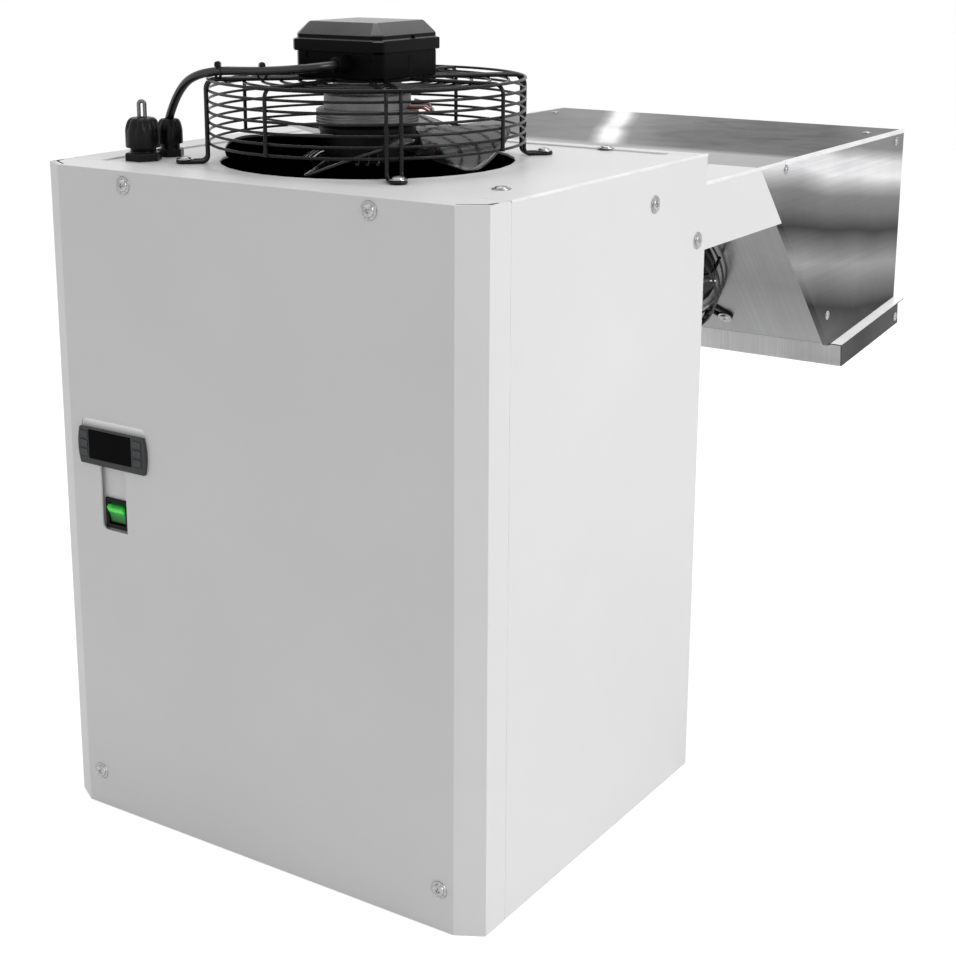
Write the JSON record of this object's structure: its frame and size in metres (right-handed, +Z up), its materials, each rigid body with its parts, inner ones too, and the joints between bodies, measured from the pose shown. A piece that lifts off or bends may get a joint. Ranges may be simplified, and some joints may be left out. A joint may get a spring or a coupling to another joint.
{
  "type": "monoblock refrigeration unit",
  "caption": "Wall-mounted monoblock refrigeration unit: white condensing cabinet with a roof fan, insulated saddle and stainless evaporator housing with drip tray.",
  "frame": {"origin": "middle of the cabinet's underside", "axes": "+Z up, +Y from the front cover towards the cold room, +X to the right seen from the front"},
  "size_m": [0.472, 0.8908, 0.71],
  "materials": {
    "cabinet_white": "satin powder coat",
    "base_sheet": "satin",
    "galvanised": "satin zinc",
    "stainless": "brushed",
    "coil_fins": "thin fins",
    "coil_plate": "satin zinc",
    "copper_tube": "bare copper",
    "guard_black": "gloss coat over wire",
    "motor_grey": "cast, satin",
    "impeller_black": "satin",
    "terminal_black": "fine grain",
    "lead_black": "smooth",
    "gland_grey": "moulded",
    "controller_grey": "moulded",
    "window_black": "polished",
    "key_grey": "moulded",
    "switch_black": "moulded",
    "switch_green": "translucent",
    "compressor_black": "semi-gloss",
    "cap_black": "moulded",
    "grommet_rubber": "matt",
    "receiver_black": "semi-gloss",
    "drier_brass": "spun copper",
    "foam": "rigid foam",
    "spout_grey": "moulded"
  },
  "bodies": {
    "unit": {"front_cover": "cabinet_white", "side_panel_left": "cabinet_white", "side_panel_right": "cabinet_white", "rear_panel": "cabinet_white", "rear_header": "cabinet_white", "top_plate": "cabinet_white", "control_plate": "cabinet_white", "saddle_cover": "cabinet_white", "base_pan": "base_sheet", "condenser_shroud": "galvanised", "electrical_box": "galvanised", "evaporator_top": "stainless", "evaporator_side_left": "stainless", "evaporator_side_right": "stainless", "evaporator_fan_plate": "stainless", "drip_tray": "stainless", "tray_end": "stainless", "tray_side_left": "stainless", "tray_side_right": "stainless", "condenser_coil": "coil_fins", "evaporator_coil": "coil_fins", "evaporator_coil_plates": "coil_plate", "condenser_bends": "copper_tube", "evaporator_bends": "copper_tube", "discharge_pipe": "copper_tube", "liquid_line": "copper_tube", "suction_pipe": "copper_tube", "fan_guard": "guard_black", "evaporator_guard": "guard_black", "fan_motor": "motor_grey", "evaporator_motor": "motor_grey", "terminal_box": "terminal_black", "terminal_lid": "terminal_black", "terminal_gland": "terminal_black", "fan_lead": "lead_black", "gland_fan": "gland_grey", "gland_supply": "gland_grey", "controller_case": "controller_grey", "controller_window": "window_black", "switch_housing": "switch_black", "compressor": "compressor_black", "compressor_terminal_cap": "cap_black", "compressor_grommets": "grommet_rubber", "receiver": "receiver_black", "filter_drier": "drier_brass", "saddle_foam": "foam", "drain_spout": "spout_grey"},
    "fan_wheel": {"fan_impeller": "impeller_black"},
    "evaporator_wheel": {"evaporator_impeller": "impeller_black"},
    "rocker": {"switch_rocker": "switch_green"},
    "key_left_1_body": {"key_left_1": "key_grey"},
    "key_left_2_body": {"key_left_2": "key_grey"},
    "key_left_3_body": {"key_left_3": "key_grey"},
    "key_right_1_body": {"key_right_1": "key_grey"},
    "key_right_2_body": {"key_right_2": "key_grey"},
    "key_right_3_body": {"key_right_3": "key_grey"}
  },
  "joints": [
    {"name": "fan_spin", "type": "hinge", "parent": "unit", "child": "fan_wheel", "pos_m": [-0.0125, 0, 0.5905], "axis": [0, 0, 1], "continuous": true},
    {"name": "evaporator_fan_spin", "type": "hinge", "parent": "unit", "child": "evaporator_wheel", "pos_m": [0, 0.40868, 0.45893], "axis": [0, -0.729, -0.6845], "continuous": true},
    {"name": "switch_tilt", "type": "hinge", "parent": "unit", "child": "rocker", "pos_m": [-0.1545, -0.1804, 0.28725], "axis": [-1, 0, 0], "range_deg": [0, 14]},
    {"name": "key_left_1_press", "type": "slide", "parent": "unit", "child": "key_left_1_body", "axis": [0, 1, 0], "range_m": [0, 0.0006], "stiffness_N_per_m": 400, "springref_m": -0.0002},
    {"name": "key_left_2_press", "type": "slide", "parent": "unit", "child": "key_left_2_body", "axis": [0, 1, 0], "range_m": [0, 0.0006], "stiffness_N_per_m": 400, "springref_m": -0.0002},
    {"name": "key_left_3_press", "type": "slide", "parent": "unit", "child": "key_left_3_body", "axis": [0, 1, 0], "range_m": [0, 0.0006], "stiffness_N_per_m": 400, "springref_m": -0.0002},
    {"name": "key_right_1_press", "type": "slide", "parent": "unit", "child": "key_right_1_body", "axis": [0, 1, 0], "range_m": [0, 0.0006], "stiffness_N_per_m": 400, "springref_m": -0.0002},
    {"name": "key_right_2_press", "type": "slide", "parent": "unit", "child": "key_right_2_body", "axis": [0, 1, 0], "range_m": [0, 0.0006], "stiffness_N_per_m": 400, "springref_m": -0.0002},
    {"name": "key_right_3_press", "type": "slide", "parent": "unit", "child": "key_right_3_body", "axis": [0, 1, 0], "range_m": [0, 0.0006], "stiffness_N_per_m": 400, "springref_m": -0.0002}
  ]
}
